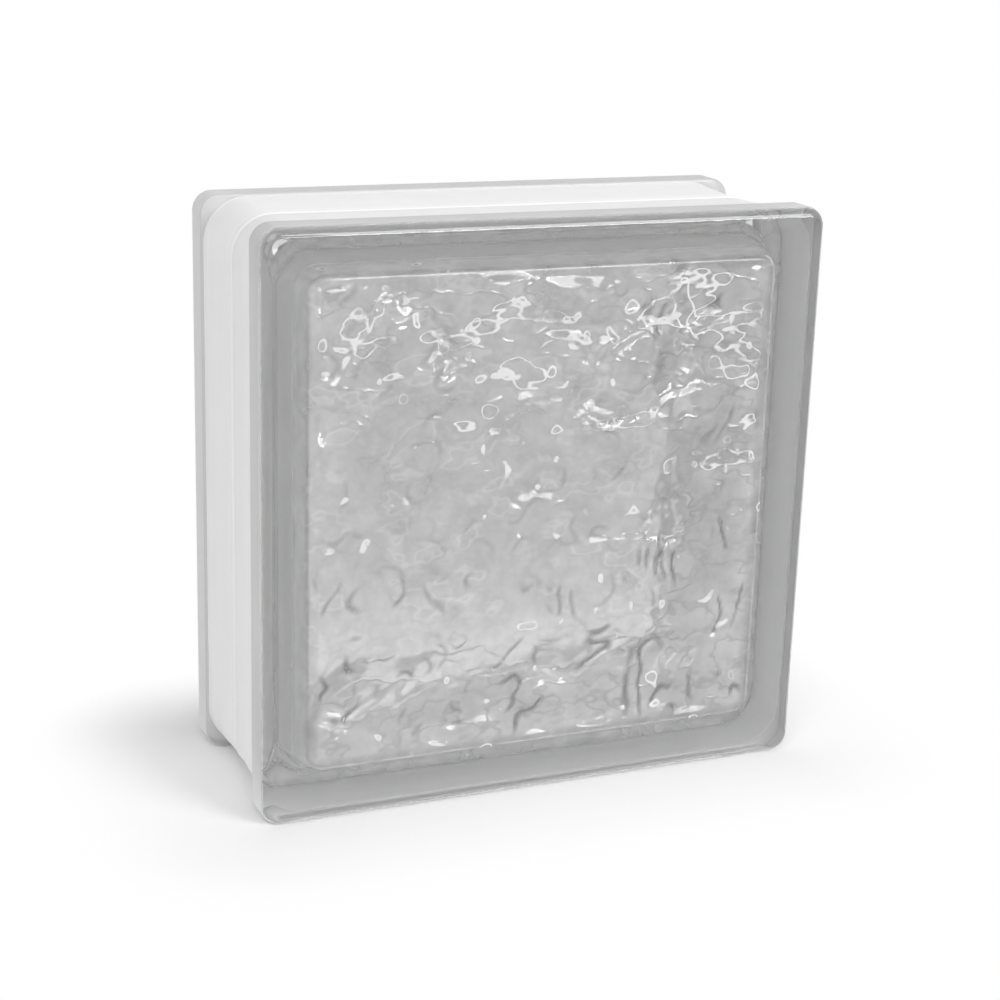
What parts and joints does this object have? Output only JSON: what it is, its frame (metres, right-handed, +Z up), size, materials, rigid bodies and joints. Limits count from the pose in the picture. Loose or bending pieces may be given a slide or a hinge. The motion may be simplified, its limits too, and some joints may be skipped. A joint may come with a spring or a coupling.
{
  "type": "glass block",
  "caption": "Square hollow glass block for mortared walls and partitions, pressed halves fused at a seam, with smooth faces, ice-like relief inside and a shallow mortar channel round the edge",
  "frame": {"origin": "middle of the block's underside, on the floor between its two lower rims", "axes": "+Z up, +X to the right seen from the front, +Y from the front face through the thickness to the back face"},
  "size_m": [0.19, 0.08, 0.19],
  "materials": {
    "glass": "clear pressed glass, fire-polished faces, pale bonding coat on the edges"
  },
  "bodies": {
    "root": {"front_half": "glass", "back_half": "glass"}
  },
  "joints": []
}
